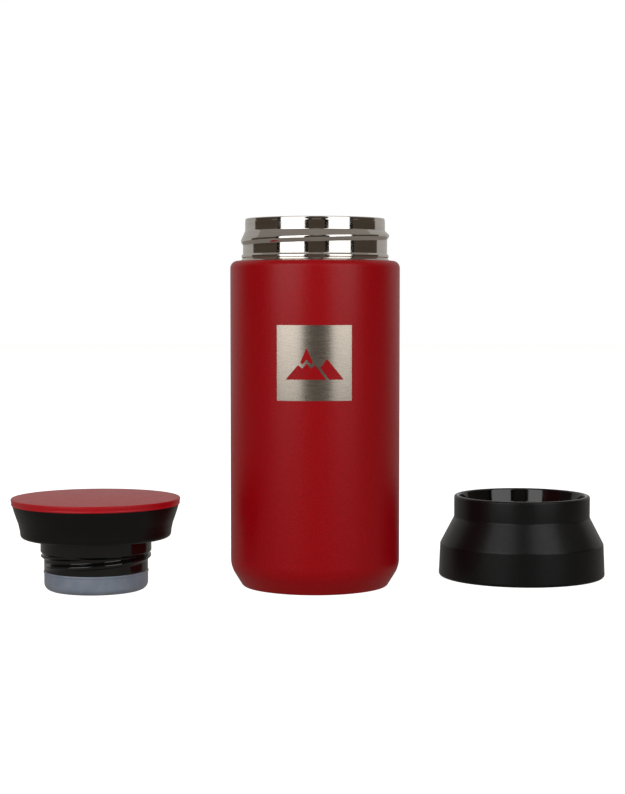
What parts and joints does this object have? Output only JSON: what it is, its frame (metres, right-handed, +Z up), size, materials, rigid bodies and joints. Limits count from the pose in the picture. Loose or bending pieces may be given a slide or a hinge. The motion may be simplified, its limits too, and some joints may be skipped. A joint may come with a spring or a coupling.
{
  "type": "insulated water bottle",
  "caption": "Double-walled steel water bottle taken apart: round body with a threaded neck, screw lid with a sealed plug, and a flared drinking collar.",
  "frame": {"origin": "centre of the bottle body's base, on the surface that all three pieces stand on", "axes": "+Z up along the body's axis, out of its mouth; -Y is the front, with the steel window; +X runs along the row from the lid to the collar"},
  "size_m": [0.2592, 0.1097, 0.1582],
  "materials": {
    "steel": "polished neck, brushed window",
    "liner_steel": "satin",
    "red_coat": "satin powder coat, fine grain",
    "red_plastic": "satin",
    "black_satin": "satin",
    "black_gloss": "polished",
    "silicone": "frosted, slightly translucent",
    "foam": "closed-cell foam",
    "foil": "bright",
    "solder": "dull",
    "getter_alloy": "sintered"
  },
  "bodies": {
    "bottle": {"outer_shell": "steel", "powder_coat": "red_coat", "inner_liner": "liner_steel", "outer_base": "steel", "base_cover": "steel", "vacuum_seal_bead": "solder", "getter_clip": "steel", "getter": "getter_alloy", "reflective_foil": "foil"},
    "lid_boot": {"lid_seal": "silicone"},
    "lid": {"lid_top_disc": "red_plastic", "lid_skirt": "black_satin", "lid_plug": "black_gloss", "lid_insulation": "foam"},
    "gasket": {"collar_gasket": "silicone"},
    "collar": {"collar_shell": "black_satin", "collar_liner": "black_gloss"}
  },
  "joints": [
    {"name": "lid_lift", "type": "slide", "parent": "bottle", "child": "lid_boot", "axis": [0, 0, 1], "range_m": [0, 0.18]},
    {"name": "lid_turn", "type": "hinge", "parent": "lid_boot", "child": "lid", "pos_m": [-0.0937, -0.0115, 0.02], "axis": [0, 0, 1], "continuous": true},
    {"name": "collar_lift", "type": "slide", "parent": "bottle", "child": "gasket", "axis": [0, 0, 1], "range_m": [0, 0.18]},
    {"name": "collar_turn", "type": "hinge", "parent": "gasket", "child": "collar", "pos_m": [0.0926, 0.0252, 0.02], "axis": [0, 0, 1], "continuous": true}
  ]
}
